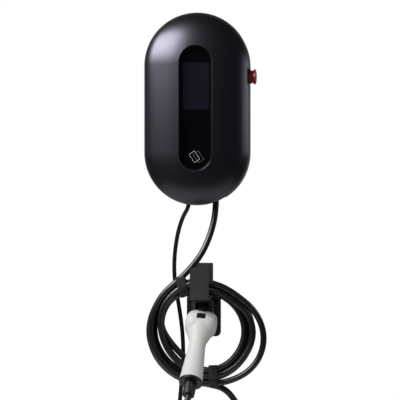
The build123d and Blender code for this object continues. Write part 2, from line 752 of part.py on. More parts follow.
# Cable holder: wall plate, hook and plug dock in one moulding
plate_middle_z = (holder_plate_top + holder_plate_bottom) / 2
hook_floor_low = hook_floor_top - hook_floor
dock_face = facing(dock_depth, holder_x, dock_z)
with BuildPart() as cable_holder:
    with BuildSketch(facing(0)):
        with Locations((holder_x, plate_middle_z)):
            RectangleRounded(holder_plate_width, holder_plate_top - holder_plate_bottom, 10)
        with Locations((holder_x, (holder_top + plate_middle_z) / 2)):
            RectangleRounded(hook_width, holder_top - plate_middle_z, 3)
    extrude(amount=holder_plate)
    with BuildSketch(facing(0, holder_x, hook_floor_top)):
        with BuildLine():
            ThreePointArc(
                (-hook_width / 2, -hook_floor_crown),
                (0, 0),
                (hook_width / 2, -hook_floor_crown),
            )
            Polyline([
                (hook_width / 2, -hook_floor_crown),
                (hook_width / 2, -hook_floor),
                (-hook_width / 2, -hook_floor),
                (-hook_width / 2, -hook_floor_crown),
            ])
        make_face()
    extrude(amount=hook_depth)
    with BuildSketch(facing(hook_depth)):
        with Locations((holder_x, lip_top)):
            Rectangle(hook_width, lip_top - hook_floor_low, align=(Align.CENTER, Align.MAX))
    extrude(amount=-hook_wall)
    lip_corners = cable_holder.edges().filter_by(Axis.Y).filter_by(
        lambda edge: abs(edge.center().Z - lip_top) < 0.01
    )
    fillet(lip_corners, 3.5)
    with BuildSketch(facing(0, holder_x, dock_z)):
        Circle(dock_bore / 2 + dock_wall)
        with Locations((0, 0)):
            RectangleRounded(catch_box_width, 2 * (catch_box_top - dock_z), 6)
            Rectangle(
                catch_box_width + 10,
                dock_bore + 60,
                align=(Align.CENTER, Align.MAX),
                mode=Mode.SUBTRACT,
            )
        Circle(dock_bore / 2 + dock_wall)
    extrude(amount=dock_depth)
    with BuildSketch(level(catch_box_top - 1, holder_x)):
        with GridLocations(28, 0, 2, 1):
            Rectangle(4, 2 * dock_depth - 8)
        Rectangle(60, 2 * dock_depth, align=(Align.CENTER, Align.MIN), mode=Mode.SUBTRACT)
    extrude(amount=hook_floor_low - catch_box_top + 1.5)
    with BuildSketch(dock_face):
        Circle(dock_bore / 2)
    extrude(amount=-(dock_depth - holder_plate), mode=Mode.SUBTRACT)
    window_middle = (catch_ledge_top + catch_window_high) / 2
    with BuildSketch(dock_face):
        with Locations((0, window_middle)):
            Rectangle(catch_window_width, catch_window_high - catch_ledge_top)
    extrude(amount=-catch_window_deep, mode=Mode.SUBTRACT)
    with BuildSketch(dock_face.offset(-catch_ledge)):
        with Locations((0, (catch_window_low + catch_window_high) / 2)):
            Rectangle(catch_window_width, catch_window_high - catch_window_low)
    extrude(amount=catch_ledge - catch_window_deep, mode=Mode.SUBTRACT)
    with BuildSketch(facing(0)):
        with Locations((holder_x, plate_middle_z)):
            with GridLocations(holder_hole_x, holder_hole_z, 2, 2):
                Circle(holder_hole / 2)
    extrude(amount=holder_plate, mode=Mode.SUBTRACT)
    with BuildSketch(facing(holder_plate)):
        with Locations((holder_x, plate_middle_z)):
            with GridLocations(holder_hole_x, holder_hole_z, 2, 2):
                Circle(holder_hole_head / 2)
    extrude(amount=-2.6, taper=45, mode=Mode.SUBTRACT)
save(cable_holder, "cable_holder")

# Plug frame: origin on the dock's axis at its face, rolled about the nose
roll = radians(plug_roll)
tilt = radians(handle_tilt)
plug = Plane(
    origin=(holder_x, -dock_depth, dock_z),
    x_dir=(cos(roll), 0, -sin(roll)),
    z_dir=(0, -1, 0),
)
head_centre = plug.from_local_coords(Vector(0, -head_drop, head_straight))
handle_direction = plug.from_local_coords(Vector(0, -cos(tilt), sin(tilt))) - plug.origin
handle = Plane(
    origin=head_centre,
    x_dir=plug.x_dir,
    z_dir=plug.x_dir.cross(handle_direction),
)
handle_end_plane = Plane(
    origin=head_centre + handle_direction * handle_length,
    x_dir=plug.x_dir,
    z_dir=handle_direction,
)
handle_side = Plane(origin=head_centre, x_dir=handle_end_plane.y_dir, z_dir=plug.x_dir)


# Side view of the plug: x towards the viewer, y up
side_view = Plane(origin=plug.origin, x_dir=plug.z_dir, z_dir=-plug.x_dir)
slot_half = latch_width / 2 + latch_gap


def head_quarter(half_width, half_height):
    """Quarter of the head's squared-off oval, from its top to its side."""
    power = 2 / head_squareness
    points = [
        (half_width * sin(radians(turn)) ** power, half_height * cos(radians(turn)) ** power)
        for turn in range(0, 90, 15)
    ]
    return Spline(*points, (half_width, 0), tangents=((1, 0), (0, -1)))


def plug_form(inset):
    """Outside of the plug's moulding, or its inside at an inset: one half and its mirror image."""
    half_width = head_half_width - inset
    half_height = head_half_height - inset
    with BuildSketch(plug.offset(head_back + inset)) as head_section:
        with BuildLine():
            head_quarter(half_width, half_height)
            Polyline([(half_width, 0), (0, 0), (0, half_height)])
        make_face()
        mirror(about=Plane.XZ)
    head_side = head_section.sketch.moved(Location(-head_drop * plug.y_dir))
    extrude(head_side, amount=head_straight - head_back - inset)
    with BuildSketch(Plane(origin=head_centre, x_dir=plug.x_dir, z_dir=plug.z_dir)) as dome_section:
        with BuildLine():
            head_quarter(half_width, half_height)
            Polyline([(half_width, 0), (0, 0), (0, half_height)])
        make_face()
    revolve(dome_section.sketch, axis=Axis(head_centre, plug.x_dir), revolution_arc=180)
    middle = (handle_neck + handle_end) / 2
    with BuildSketch(handle_side) as handle_section:
        with BuildLine():
            Line((0, 0), (half_height - 0.2, 8))
            Spline(
                (half_height - 0.2, 8),
                (handle_neck + 5.4 - inset, 23),
                (handle_neck - inset, 47),
                (handle_neck + 1.2 - inset, 76),
                (middle + 0.8 - inset, 108),
                (handle_end - inset, handle_length),
            )
            Polyline([(handle_end - inset, handle_length), (0, handle_length), (0, 0)])
        make_face()
    revolve(handle_section.sketch, axis=Axis(head_centre, -handle_direction), revolution_arc=180)
    mirror(about=side_view)


# Room inside the plug, less the ribs for the latch pin and the posts for the cap screws
with BuildPart() as plug_room:
    plug_form(shell_wall)
    with BuildSketch(side_view):
        with Locations((latch_pin_w, latch_pin_v - 4.4)):
            Rectangle(9, 30, align=(Align.CENTER, Align.MIN))
    extrude(amount=slot_half + latch_rib, both=True, mode=Mode.SUBTRACT)
    with BuildSketch(handle_end_plane):
        with Locations((-rear_screw_x, rear_screw_y), (rear_screw_x, rear_screw_y)):
            Circle(5)
    extrude(amount=-14, mode=Mode.SUBTRACT)

# Plug moulding with the nose's hole, the arm's slot, the thumb pad's window and the pin's and screws' holes
with BuildPart() as plug_shell:
    plug_form(0)
    fillet(plug_shell.faces().sort_by(Axis.Y)[-1].edges(), 2.2)
    add(plug_room.part, mode=Mode.SUBTRACT)
    with BuildSketch(handle_end_plane):
        with Locations((-rear_screw_x, rear_screw_y), (rear_screw_x, rear_screw_y)):
            Circle(1.7)
    extrude(amount=-14, mode=Mode.SUBTRACT)
    with BuildSketch(plug):
        Circle(nose_d / 2 + seat_gap)
    extrude(amount=head_back + shell_wall + 1, mode=Mode.SUBTRACT)
    with BuildSketch(side_view):
        with Locations((latch_pin_w - 4.6, latch_pin_v - 5)):
            Rectangle(arm_slot_end - latch_pin_w + 4.6, 30, align=(Align.MIN, Align.MIN))
        with Locations((pad_window_start, latch_pin_v - 9)):
            Rectangle(pad_window_end - pad_window_start, 34, align=(Align.MIN, Align.MIN))
    extrude(amount=slot_half, both=True, mode=Mode.SUBTRACT)
    with BuildSketch(side_view):
        with Locations((latch_pin_w, latch_pin_v)):
            Circle(latch_pin_d / 2 + 0.05)
    extrude(amount=slot_half + latch_rib + 1, both=True, mode=Mode.SUBTRACT)

with BuildPart() as plug_shell_rear:
    add(plug_shell.part)
    split(bisect_by=handle, keep=Keep.TOP)
save(plug_shell_rear, "plug_shell_rear")

with BuildPart() as plug_shell_front:
    add(plug_shell.part)
    split(bisect_by=handle, keep=Keep.BOTTOM)
save(plug_shell_front, "plug_shell_front")

# Nose: round shroud with five contact sleeves on a plate inside the head
nose_plate_back = head_back + shell_wall + seat_gap
with BuildPart() as plug_nose:
    with BuildSketch(plug.offset(nose_plate_back)):
        with Locations((0, -head_drop)):
            Ellipse(head_half_width - shell_wall - seat_gap, head_half_height - shell_wall - seat_gap)
    extrude(amount=3)
    with BuildSketch(plug.offset(nose_plate_back)):
        Circle(nose_d / 2)
        Circle(nose_d / 2 - nose_wall, mode=Mode.SUBTRACT)
    extrude(amount=-nose_length - nose_plate_back)
    fillet(plug_nose.faces().sort_by(Axis.Y)[-1].edges(), 0.8)
    for x, y, radius in sleeve_points:
        with BuildSketch(plug.offset(nose_plate_back)):
            with Locations((x, y)):
                Circle(radius)
        extrude(amount=4 - nose_length - nose_plate_back)
    for x, y, radius in sleeve_points:
        with BuildSketch(plug.offset(4 - nose_length)):
            with Locations((x, y)):
                Circle(radius - sleeve_wall)
        extrude(amount=nose_length - 4 + nose_plate_back + 2, mode=Mode.SUBTRACT)
save(plug_nose, "plug_nose")

with BuildPart() as plug_contacts:
    for x, y, radius in sleeve_points:
        with BuildSketch(plug.offset(5 - nose_length)):
            with Locations((x, y)):
                Circle(radius - sleeve_wall - 0.1)
                Circle(radius - sleeve_wall - 0.1 - contact_wall, mode=Mode.SUBTRACT)
        extrude(amount=nose_length - 5 + nose_plate_back + 1)
save(plug_contacts, "plug_contacts")

with BuildPart() as plug_nose_seal:
    with BuildSketch(plug.offset(seat_gap)):
        Circle(nose_d / 2 + 2.6)
        Circle(nose_d / 2 + 0.2, mode=Mode.SUBTRACT)
    extrude(amount=head_back - 2 * seat_gap)
save(plug_nose_seal, "plug_nose_seal")

# Latch lever: hook in the dock's window, arm through the head's slot, thumb pad in the dome's window
with BuildPart() as latch_lever:
    with BuildSketch(side_view):
        with BuildLine():
            Spline((-9, 35.5), (6, 36), (15.5, 33), (latch_pin_w + 4.5, 26))
            Polyline([
                (latch_pin_w + 4.5, 26),
                (latch_pin_w + 4.9, 20.6),
                (30, 19.2),
                (pad_window_start - 0.6, 16.6),
                (pad_window_start + latch_gap + 0.2, 16.6),
                (pad_window_start + latch_gap + 0.2, 22.2),
            ])
            Spline(
                (pad_window_start + latch_gap + 0.2, 22.2),
                (40.5, 19.2),
                (pad_window_end - latch_gap - 0.2, 15.2),
            )
            Polyline([
                (pad_window_end - latch_gap - 0.2, 15.2),
                (pad_window_end - latch_gap - 0.2, 11.4),
                (36, 12.2),
                (latch_pin_w + 4, 12.8),
                (latch_pin_w + 4, latch_pin_v),
                (latch_pin_w - 4, latch_pin_v),
                (latch_pin_w - 4, 28.6),
                (-6.5, 28.6),
                (-6.5, 25.6),
                (-9.5, 25.6),
                (-11.5, 29),
                (-9, 35.5),
            ])
        make_face()
        with Locations((latch_pin_w, latch_pin_v)):
            Circle(4)
            Circle(latch_pin_d / 2 + 0.05, mode=Mode.SUBTRACT)
    extrude(amount=latch_width / 2, both=True)
save(latch_lever, "latch_lever")

with BuildPart() as latch_pin:
    with BuildSketch(side_view):
        with Locations((latch_pin_w, latch_pin_v)):
            Circle(latch_pin_d / 2)
    extrude(amount=slot_half + latch_rib - 0.3, both=True)
save(latch_pin, "latch_pin")

# Rear cap, its screws, the ridged cable nut and the rubber seal in it
cap_back = rear_cap_length + seat_gap
nut_back = cap_back + seat_gap + plug_nut_length
nut_bore = charging_cable_d / 2 + 1.2
with BuildPart() as plug_rear_cap:
    with BuildSketch(handle_end_plane.offset(seat_gap)):
        Circle(rear_cap_d / 2)
        Circle(nut_bore, mode=Mode.SUBTRACT)
    extrude(amount=rear_cap_length)
    with BuildSketch(handle_end_plane.offset(cap_back)):
        with Locations((-rear_screw_x, rear_screw_y), (rear_screw_x, rear_screw_y)):
            Circle(2.7)
    extrude(amount=-2.4, mode=Mode.SUBTRACT)
    with BuildSketch(handle_end_plane.offset(cap_back)):
        with Locations((-rear_screw_x, rear_screw_y), (rear_screw_x, rear_screw_y)):
            Circle(1.7)
    extrude(amount=-cap_back, mode=Mode.SUBTRACT)
    rim_edge = plug_rear_cap.edges().filter_by(GeomType.CIRCLE).filter_by(
        lambda edge: abs(edge.radius - rear_cap_d / 2) < 0.01
    )
    fillet(rim_edge, 1.2)
save(plug_rear_cap, "plug_rear_cap")

with BuildPart() as plug_cap_screws:
    for x in (-rear_screw_x, rear_screw_x):
        add(handle_end_plane * Pos(x, rear_screw_y, cap_back - 2.3) * pan_screw(3, 12, 4.8, 1.8))
save(plug_cap_screws, "plug_cap_screws")

with BuildPart() as plug_cable_nut:
    with BuildSketch(handle_end_plane.offset(cap_back + seat_gap)):
        Circle(plug_nut_d / 2)
    extrude(amount=plug_nut_length, taper=1.6)
    with BuildSketch(handle_end_plane.offset(cap_back + seat_gap + 5)):
        with PolarLocations(plug_nut_d / 2 + 0.7, 14):
            Circle(1.5)
    extrude(amount=plug_nut_length - 10, mode=Mode.SUBTRACT)
    with BuildSketch(handle_end_plane.offset(cap_back)):
        Circle(nut_bore)
    extrude(amount=plug_nut_length + 1, mode=Mode.SUBTRACT)
save(plug_cable_nut, "plug_cable_nut")

with BuildPart() as plug_cable_seal:
    with BuildSketch(handle_end_plane.offset(nut_back)):
        Circle(nut_bore - 0.2)
    extrude(amount=-14)
save(plug_cable_seal, "plug_cable_seal")


def corner_radii(points):
    """Arc radius at each inner corner: 0.45 of the shorter run over the tangent of half the turn."""
    radii = []
    for before, here, after in zip(points, points[1:], points[2:]):
        into = Vector(*here) - Vector(*before)
        away = Vector(*after) - Vector(*here)
        half_turn = radians(into.get_angle(away) / 2)
        radii.append(0.45 * min(into.length, away.length) / tan(half_turn))
    return radii


def cord(label, points, diameter):
    """Round cord along straight runs joined by tangent arcs."""
    radii = corner_radii(points)
    start = Vector(*points[0])
    with BuildPart() as tube:
        with BuildLine() as route:
            FilletPolyline(*points, radius=radii)
        with BuildSketch(Plane(origin=start, z_dir=Vector(*points[1]) - start)):
            Circle(diameter / 2)
        sweep(path=route.line)
    print(label, "radii", [round(radius) for radius in radii])
    length = sum(edge.length for edge in route.edges())
    print(label, "length", round(length), "volume over section", tube.part.volume / (pi * diameter**2 / 4))
    return tube


# Supply cable: down the wall behind the coil, ending stripped with its cores in ferrules
supply_points = [
    (supply_gland_x, -gland_depth, cable_exit_z),
    (-17.5, -26, -199),
    (-31.5, -22, -221),
    (-43, -15.5, -257),
    (-50, -9.5, -303),
    (-50, -8, -350),
    (-43.5, -8.2, -398),
    (-36.6, -8, -450),
    (-33.2, -8.2, -506),
    (-36, -8, -560),
    (-39.6, -8.3, -612),
    (-41, -9, -672),
    (-40, -10, -738),
    (-43, -10.6, -806),
    (-50, -10.2, -872),
    (-60, -9.4, -932),
]
supply_cable = cord("supply_cable", supply_points, supply_cable_d)
save(supply_cable, "supply_cable")

supply_end = Vector(*supply_points[-1])
supply_direction = (supply_end - Vector(*supply_points[-2])).normalized()
supply_end_plane = Plane(origin=supply_end, z_dir=supply_direction)
with BuildPart() as supply_cores:
    with BuildSketch(supply_end_plane):
        with PolarLocations(core_pitch, 3):
            Circle(core_d / 2)
    extrude(amount=core_length)
save(supply_cores, "supply_cores")

with BuildPart() as supply_ferrules:
    with BuildSketch(supply_end_plane.offset(core_length)):
        with PolarLocations(core_pitch, 3):
            Circle(core_d / 2 + 0.3)
    extrude(amount=5)
    with BuildSketch(supply_end_plane.offset(core_length + 5)):
        with PolarLocations(core_pitch, 3):
            Circle(core_d / 2 - 0.4)
    extrude(amount=9)
save(supply_ferrules, "supply_ferrules")

# Charging cable: drop from the gland to the coil's upper tie
coil_entry = Vector(-22, -51, -341)
drop_points = [
    (charging_gland_x, -gland_depth, cable_exit_z),
    (37.8, -26, -208),
    (29, -31, -250),
    (9, -41, -299),
    (coil_entry.X, coil_entry.Y, coil_entry.Z),
]
charging_cable_drop = cord("charging_cable_drop", drop_points, charging_cable_d)
save(charging_cable_drop, "charging_cable_drop")

# Charging cable: free loop from the coil's lower tie back up into the plug
coil_leave = Vector(58, -61, -568)
plug_mouth = handle_end_plane.offset(nut_back).origin
tail_points = [
    (coil_leave.X, coil_leave.Y, coil_leave.Z),
    (84, -65, -594),
    (113, -74, -648),
    (119, -92, -710),
    (99, -118, -766),
    (57, -152, -800),
    (12, -190, -796),
    (-18, -222, -752),
    (-25, -236, -698),
    (-17, -230, -642),
    tuple(plug_mouth + handle_direction * 26),
    tuple(plug_mouth),
]
charging_cable_tail = cord("charging_cable_tail", tail_points, charging_cable_d)
save(charging_cable_tail, "charging_cable_tail")


def cable_stub(end, next_point, inward):
    """Short straight length of cable from inside the coil to a cord's end."""
    direction = (end - Vector(*next_point)).normalized()
    with BuildSketch(Plane(origin=end, z_dir=direction)) as section:
        Circle(charging_cable_d / 2)
    extrude(section.sketch, amount=inward)


# Coil on the hook: the outer shape of six and a half turns
with BuildPart() as charging_cable_coil:
    with BuildSketch(facing(coil_front)):
        with Locations((coil_centre_x, coil_centre_z)):
            Ellipse(coil_half_width, coil_half_height)
        with Locations((coil_hole_x, coil_centre_z)):
            Ellipse(coil_hole_half_width, coil_hole_half_height, mode=Mode.SUBTRACT)
    extrude(amount=-coil_thickness)
    fillet(charging_cable_coil.faces().filter_by(Axis.Y).edges(), coil_edge)
    cable_stub(coil_entry, drop_points[-2], 22)
    cable_stub(coil_leave, tail_points[1], 22)
save(charging_cable_coil, "charging_cable_coil")


def ellipse_point(centre_x, half_width, half_height, angle):
    """Point of a coil outline seen from the middle of the coil at an angle from +X."""
    return Vector(
        centre_x + half_width * cos(radians(angle)), 0, coil_centre_z + half_height * sin(radians(angle))
    )


def tie(outer_angle, inner_angle, room):
    """Strap wound flat round the coil between two outline points, with room outside for a cable."""
    outer = ellipse_point(coil_centre_x, coil_half_width, coil_half_height, outer_angle)
    inner = ellipse_point(coil_hole_x, coil_hole_half_width, coil_hole_half_height, inner_angle)
    across = (outer - inner).normalized()
    outer += across * room
    middle = (outer + inner) / 2
    middle.Y = coil_thickness / 2 - coil_front
    section_plane = Plane(origin=middle, x_dir=across, z_dir=across.cross(Vector(0, 1, 0)))
    width = (outer - inner).length + 2 * tie_gap + tie_width**2 / 4 / coil_hole_half_height
    depth = coil_thickness + 2 * tie_gap
    with BuildPart() as strap:
        with BuildSketch(section_plane):
            RectangleRounded(width + 2 * tie_thickness, depth + 2 * tie_thickness, coil_edge)
            RectangleRounded(width, depth, coil_edge - tie_thickness, mode=Mode.SUBTRACT)
        extrude(amount=tie_width / 2, both=True)
    return strap


tie_upper = tie(118, 116.5, tie_cable_room)
save(tie_upper, "tie_upper")
tie_lower = tie(276, 281, 0)
save(tie_lower, "tie_lower")
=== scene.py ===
"""Looks of a wall charging station with its cable holder, coiled charging cable and plug."""
from math import cos, pi, radians, sin

import bmesh
import bpy
import numpy as np
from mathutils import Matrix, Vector


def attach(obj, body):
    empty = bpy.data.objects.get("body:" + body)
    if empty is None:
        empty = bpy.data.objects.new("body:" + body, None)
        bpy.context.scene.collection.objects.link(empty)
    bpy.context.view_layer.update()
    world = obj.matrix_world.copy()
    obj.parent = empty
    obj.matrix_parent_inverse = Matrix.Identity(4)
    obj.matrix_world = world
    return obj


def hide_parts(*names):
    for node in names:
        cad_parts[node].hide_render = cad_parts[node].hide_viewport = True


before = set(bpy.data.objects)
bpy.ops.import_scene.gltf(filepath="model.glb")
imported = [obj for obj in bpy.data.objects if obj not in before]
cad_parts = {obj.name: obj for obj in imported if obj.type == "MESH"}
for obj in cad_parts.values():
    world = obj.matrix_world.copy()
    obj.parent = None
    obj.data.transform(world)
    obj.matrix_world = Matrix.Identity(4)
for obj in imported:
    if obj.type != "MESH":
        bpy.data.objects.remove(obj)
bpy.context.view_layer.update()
MM = 0.001

# Camera: the photograph's view
camera_place = (0.2664, -3.0142, -0.186)
camera_turn = 5.0
camera_lens = 131.3

# Cables
charging_cable_d = 12.8
supply_cable_d = 8.65
cable_exit_z = -176.2
coil_centre = (20.0, -455.0)

# Front cover: half an ellipse across that rises from its edge, carried round both ends
cover_half_width = 108
cover_half_straight = 89
cover_edge = 44
cover_rise = 40

# Window: its face, the recess that widens from it to the front, and the display behind it
window_face = 70
recess_radius = 30.1
recess_half_straight = 93.7
recess_slope = 4.8 / 14
display_middle = (0.0, 45.0)
display_half = (26.95, 47.5)
display_blur = 0.4


def linear(red, green, blue):
    """Scene colour of an 8-bit display colour."""
    values = np.array([red, green, blue], float) / 255
    low = values / 12.92
    high = ((values + 0.055) / 1.055) ** 2.4
    return tuple(np.where(values <= 0.04045, low, high)) + (1.0,)


def mesh_piece(name, corners, faces, body, smooth=True):
    """Mesh object at the origin from corners in millimetres."""
    mesh = bpy.data.meshes.new(name)
    mesh.from_pydata((np.asarray(corners) * MM).tolist(), [], [list(face) for face in faces])
    mesh.polygons.foreach_set("use_smooth", np.full(len(mesh.polygons), smooth))
    mesh.update()
    piece = bpy.data.objects.new(name, mesh)
    bpy.context.scene.collection.objects.link(piece)
    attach(piece, body)
    return piece


def grid_faces(rows, columns, close_rows=False, close_columns=False):
    """Quads between neighbouring rows and columns of a grid of points."""
    row = np.arange(rows if close_rows else rows - 1)
    column = np.arange(columns if close_columns else columns - 1)
    row, column = [part.ravel() for part in np.meshgrid(row, column, indexing="ij")]
    next_row = (row + 1) % rows
    next_column = (column + 1) % columns
    return np.stack(
        [
            row * columns + column,
            row * columns + next_column,
            next_row * columns + next_column,
            next_row * columns + column,
        ],
        axis=1,
    )


# ---------------------------------------------------------------- finishes


def node_group(name, inputs, outputs):
    """Empty shader node group with named inputs and outputs; inputs are (kind, name, default)."""
    group = bpy.data.node_groups.new(name, "ShaderNodeTree")
    for kind, label, default in inputs:
        socket = group.interface.new_socket(name=label, in_out="INPUT", socket_type=f"NodeSocket{kind}")
        if default is not None:
            socket.default_value = default
    for kind, label in outputs:
        group.interface.new_socket(name=label, in_out="OUTPUT", socket_type=f"NodeSocket{kind}")
    return group, group.nodes.new("NodeGroupInput"), group.nodes.new("NodeGroupOutput")


def add_node(tree, kind, settings=None, links=None):
    """New node with its settings, and its inputs set to numbers or linked to sockets."""
    node = tree.nodes.new(kind)
    for label, value in (settings or {}).items():
        setattr(node, label, value)
    for label, value in (links or {}).items():
        if isinstance(value, bpy.types.NodeSocket):
            tree.links.new(value, node.inputs[label])
        else:
            node.inputs[label].default_value = value
    return node


def mixed(tree, kind, factor, first, second):
    """Socket that runs from a first value or colour to a second as the factor runs from 0 to 1."""
    at_first, at_second, at_result = {"FLOAT": (2, 3, 0), "RGBA": (6, 7, 2)}[kind]
    node = add_node(tree, "ShaderNodeMix", {"data_type": kind}, {0: factor, at_first: first, at_second: second})
    return node.outputs[at_result]


def grain_group():
    """Moulded grain: fine noise pits and slow unevenness, as a normal, a roughness and a tint."""
    group, given, result = node_group(
        "moulded_grain",
        [
            ("Vector", "Place", None),
            ("Float", "Grain Scale", 900.0),
            ("Float", "Grain Depth", 0.15),
            ("Float", "Roughness", 0.4),
            ("Float", "Roughness Spread", 0.08),
            ("Color", "Colour", (0.05, 0.05, 0.05, 1)),
            ("Float", "Tint Spread", 0.06),
        ],
        [("Color", "Colour"), ("Float", "Roughness"), ("Vector", "Normal")],
    )
    pits = add_node(group, "ShaderNodeTexNoise", {}, {
        "Vector": given.outputs["Place"], "Scale": given.outputs["Grain Scale"], "Detail": 3.0, "Roughness": 0.6,
    })
    slow = add_node(group, "ShaderNodeTexNoise", {}, {
        "Vector": given.outputs["Place"], "Scale": 9.0, "Detail": 4.0, "Roughness": 0.55,
    })
    bump = add_node(group, "ShaderNodeBump", {}, {
        "Height": pits.outputs["Fac"], "Strength": given.outputs["Grain Depth"], "Distance": 0.0002,
    })
    swing = add_node(group, "ShaderNodeMath", {"operation": "SUBTRACT"}, {0: slow.outputs["Fac"], 1: 0.5})
    spread = add_node(group, "ShaderNodeMath", {"operation": "MULTIPLY_ADD"}, {
        0: swing.outputs[0], 1: given.outputs["Roughness Spread"], 2: given.outputs["Roughness"],
    })
    tint = add_node(group, "ShaderNodeMath", {"operation": "MULTIPLY_ADD"}, {
        0: swing.outputs[0], 1: given.outputs["Tint Spread"], 2: 1.0,
    })
    colour = add_node(group, "ShaderNodeVectorMath", {"operation": "SCALE"}, {
        0: given.outputs["Colour"], "Scale": tint.outputs[0],
    })
    group.links.new(colour.outputs[0], result.inputs["Colour"])
    group.links.new(spread.outputs[0], result.inputs["Roughness"])
    group.links.new(bump.outputs[0], result.inputs["Normal"])
    return group


def dust_group():
    """Dust and rub marks: pale specks in slow noise clouds, mixed over a colour and a roughness."""
    group, given, result = node_group(
        "dust_and_rub",
        [
            ("Vector", "Place", None),
            ("Color", "Colour", (0.05, 0.05, 0.05, 1)),
            ("Float", "Roughness", 0.4),
            ("Color", "Dust Colour", (0.35, 0.34, 0.33, 1)),
            ("Float", "Amount", 0.1),
        ],
        [("Color", "Colour"), ("Float", "Roughness")],
    )
    specks = add_node(group, "ShaderNodeTexNoise", {}, {
        "Vector": given.outputs["Place"], "Scale": 260.0, "Detail": 5.0, "Roughness": 0.7,
    })
    clouds = add_node(group, "ShaderNodeTexNoise", {}, {
        "Vector": given.outputs["Place"], "Scale": 22.0, "Detail": 2.0, "Roughness": 0.5,
    })
    both = add_node(group, "ShaderNodeMath", {"operation": "MULTIPLY"}, {
        0: specks.outputs["Fac"], 1: clouds.outputs["Fac"],
    })
    mask = add_node(group, "ShaderNodeMapRange", {}, {
        "Value": both.outputs[0], "From Min": 0.24, "From Max": 0.5, "To Min": 0.0, "To Max": 1.0,
    })
    amount = add_node(group, "ShaderNodeMath", {"operation": "MULTIPLY"}, {
        0: mask.outputs["Result"], 1: given.outputs["Amount"],
    })
    colour = mixed(group, "RGBA", amount.outputs[0], given.outputs["Colour"], given.outputs["Dust Colour"])
    rough = add_node(group, "ShaderNodeMath", {"operation": "MULTIPLY_ADD", "use_clamp": True}, {
        0: amount.outputs[0], 1: 0.5, 2: given.outputs["Roughness"],
    })
    group.links.new(colour, result.inputs["Colour"])
    group.links.new(rough.outputs[0], result.inputs["Roughness"])
    return group


moulded_grain = grain_group()
dust_and_rub = dust_group()


def use_group(tree, group, links):
    """Group placed in a material, with its inputs set or linked."""
    return add_node(tree, "ShaderNodeGroup", {"node_tree": group}, links)


def new_finish(name):
    """Material with its shader, its tree and the object coordinates."""
    material = bpy.data.materials.new(name)
    material.use_nodes = True
    tree = material.node_tree
    shader = next(node for node in tree.nodes if node.type == "BSDF_PRINCIPLED")
    place = tree.nodes.new("ShaderNodeTexCoord").outputs["Object"]
    return material, tree, shader, place


def moulded(name, colour, roughness, scale=900.0, depth=0.15, spread=0.08, tint=0.06, dust=0.06,
            specular=0.5, sheen=(1, 1, 1, 1), metallic=0.0):
    """Moulded or rolled surface: its colour under fine grain, with a trace of dust."""
    material, tree, shader, place = new_finish(name)
    grain = use_group(tree, moulded_grain, {
        "Place": place, "Grain Scale": scale, "Grain Depth": depth, "Roughness": roughness,
        "Roughness Spread": spread, "Colour": colour, "Tint Spread": tint,
    })
    dusty = use_group(tree, dust_and_rub, {
        "Place": place, "Colour": grain.outputs["Colour"], "Roughness": grain.outputs["Roughness"], "Amount": dust,
    })
    tree.links.new(dusty.outputs["Colour"], shader.inputs["Base Color"])
    tree.links.new(dusty.outputs["Roughness"], shader.inputs["Roughness"])
    tree.links.new(grain.outputs["Normal"], shader.inputs["Normal"])
    shader.inputs["Specular IOR Level"].default_value = specular
    shader.inputs["Specular Tint"].default_value = sheen
    shader.inputs["Metallic"].default_value = metallic
    return material


def finish(piece, material):
    """The piece's only material."""
    piece.data.materials.clear()
    piece.data.materials.append(material)


def lens_finish():
    """Polished black window with a slightly lighter blue-black field where the display lies behind it."""
    material, tree, shader, place = new_finish("window_black")
    apart = tree.nodes.new("ShaderNodeSeparateXYZ")
    tree.links.new(place, apart.inputs[0])
    masks = []
    for axis, centre, half in zip("XZ", display_middle, display_half):
        away = add_node(tree, "ShaderNodeMath", {"operation": "SUBTRACT"}, {0: apart.outputs[axis], 1: centre * MM})
        size = add_node(tree, "ShaderNodeMath", {"operation": "ABSOLUTE"}, {0: away.outputs[0]})
        mask = add_node(tree, "ShaderNodeMapRange", {}, {
            "Value": size.outputs[0], "To Min": 1.0, "To Max": 0.0,
            "From Min": (half - display_blur) * MM, "From Max": (half + display_blur) * MM,
        })
        masks.append(mask.outputs["Result"])
    field = add_node(tree, "ShaderNodeMath", {"operation": "MULTIPLY"}, {0: masks[0], 1: masks[1]})
    colour = mixed(tree, "RGBA", field.outputs[0], linear(6, 6, 8), linear(20, 20, 29))
    smear = add_node(tree, "ShaderNodeTexNoise", {}, {"Vector": place, "Scale": 14.0, "Detail": 3.0})
    rough = add_node(tree, "ShaderNodeMapRange", {}, {
        "Value": smear.outputs["Fac"], "From Min": 0.3, "From Max": 0.7, "To Min": 0.06, "To Max": 0.11,
    })
    tree.links.new(colour, shader.inputs["Base Color"])
    tree.links.new(rough.outputs["Result"], shader.inputs["Roughness"])
    shader.inputs["Specular IOR Level"].default_value = 0.4
    return material


def metal(name, colour, roughness, scale=400.0):
    """Plated or ground metal with fine noise grain."""
    return moulded(name, colour, roughness, scale=scale, depth=0.08, spread=0.15, tint=0.15, dust=0.05, metallic=1.0)


def cores_finish():
    """Wire insulation in brown and blue, told apart by the side of the supply cable's end they lie on."""
    material, tree, shader, place = new_finish("core_insulation")
    apart = tree.nodes.new("ShaderNodeSeparateXYZ")
    tree.links.new(place, apart.inputs[0])
    divide = supply_points[-1][1] + 0.2
    behind = add_node(tree, "ShaderNodeMath", {"operation": "GREATER_THAN"}, {0: apart.outputs["Y"], 1: divide * MM})
    colour = mixed(tree, "RGBA", behind.outputs[0], linear(95, 52, 30), linear(40, 80, 160))
    tree.links.new(colour, shader.inputs["Base Color"])
    shader.inputs["Roughness"].default_value = 0.42
    return material


# ---------------------------------------------------------------- cables

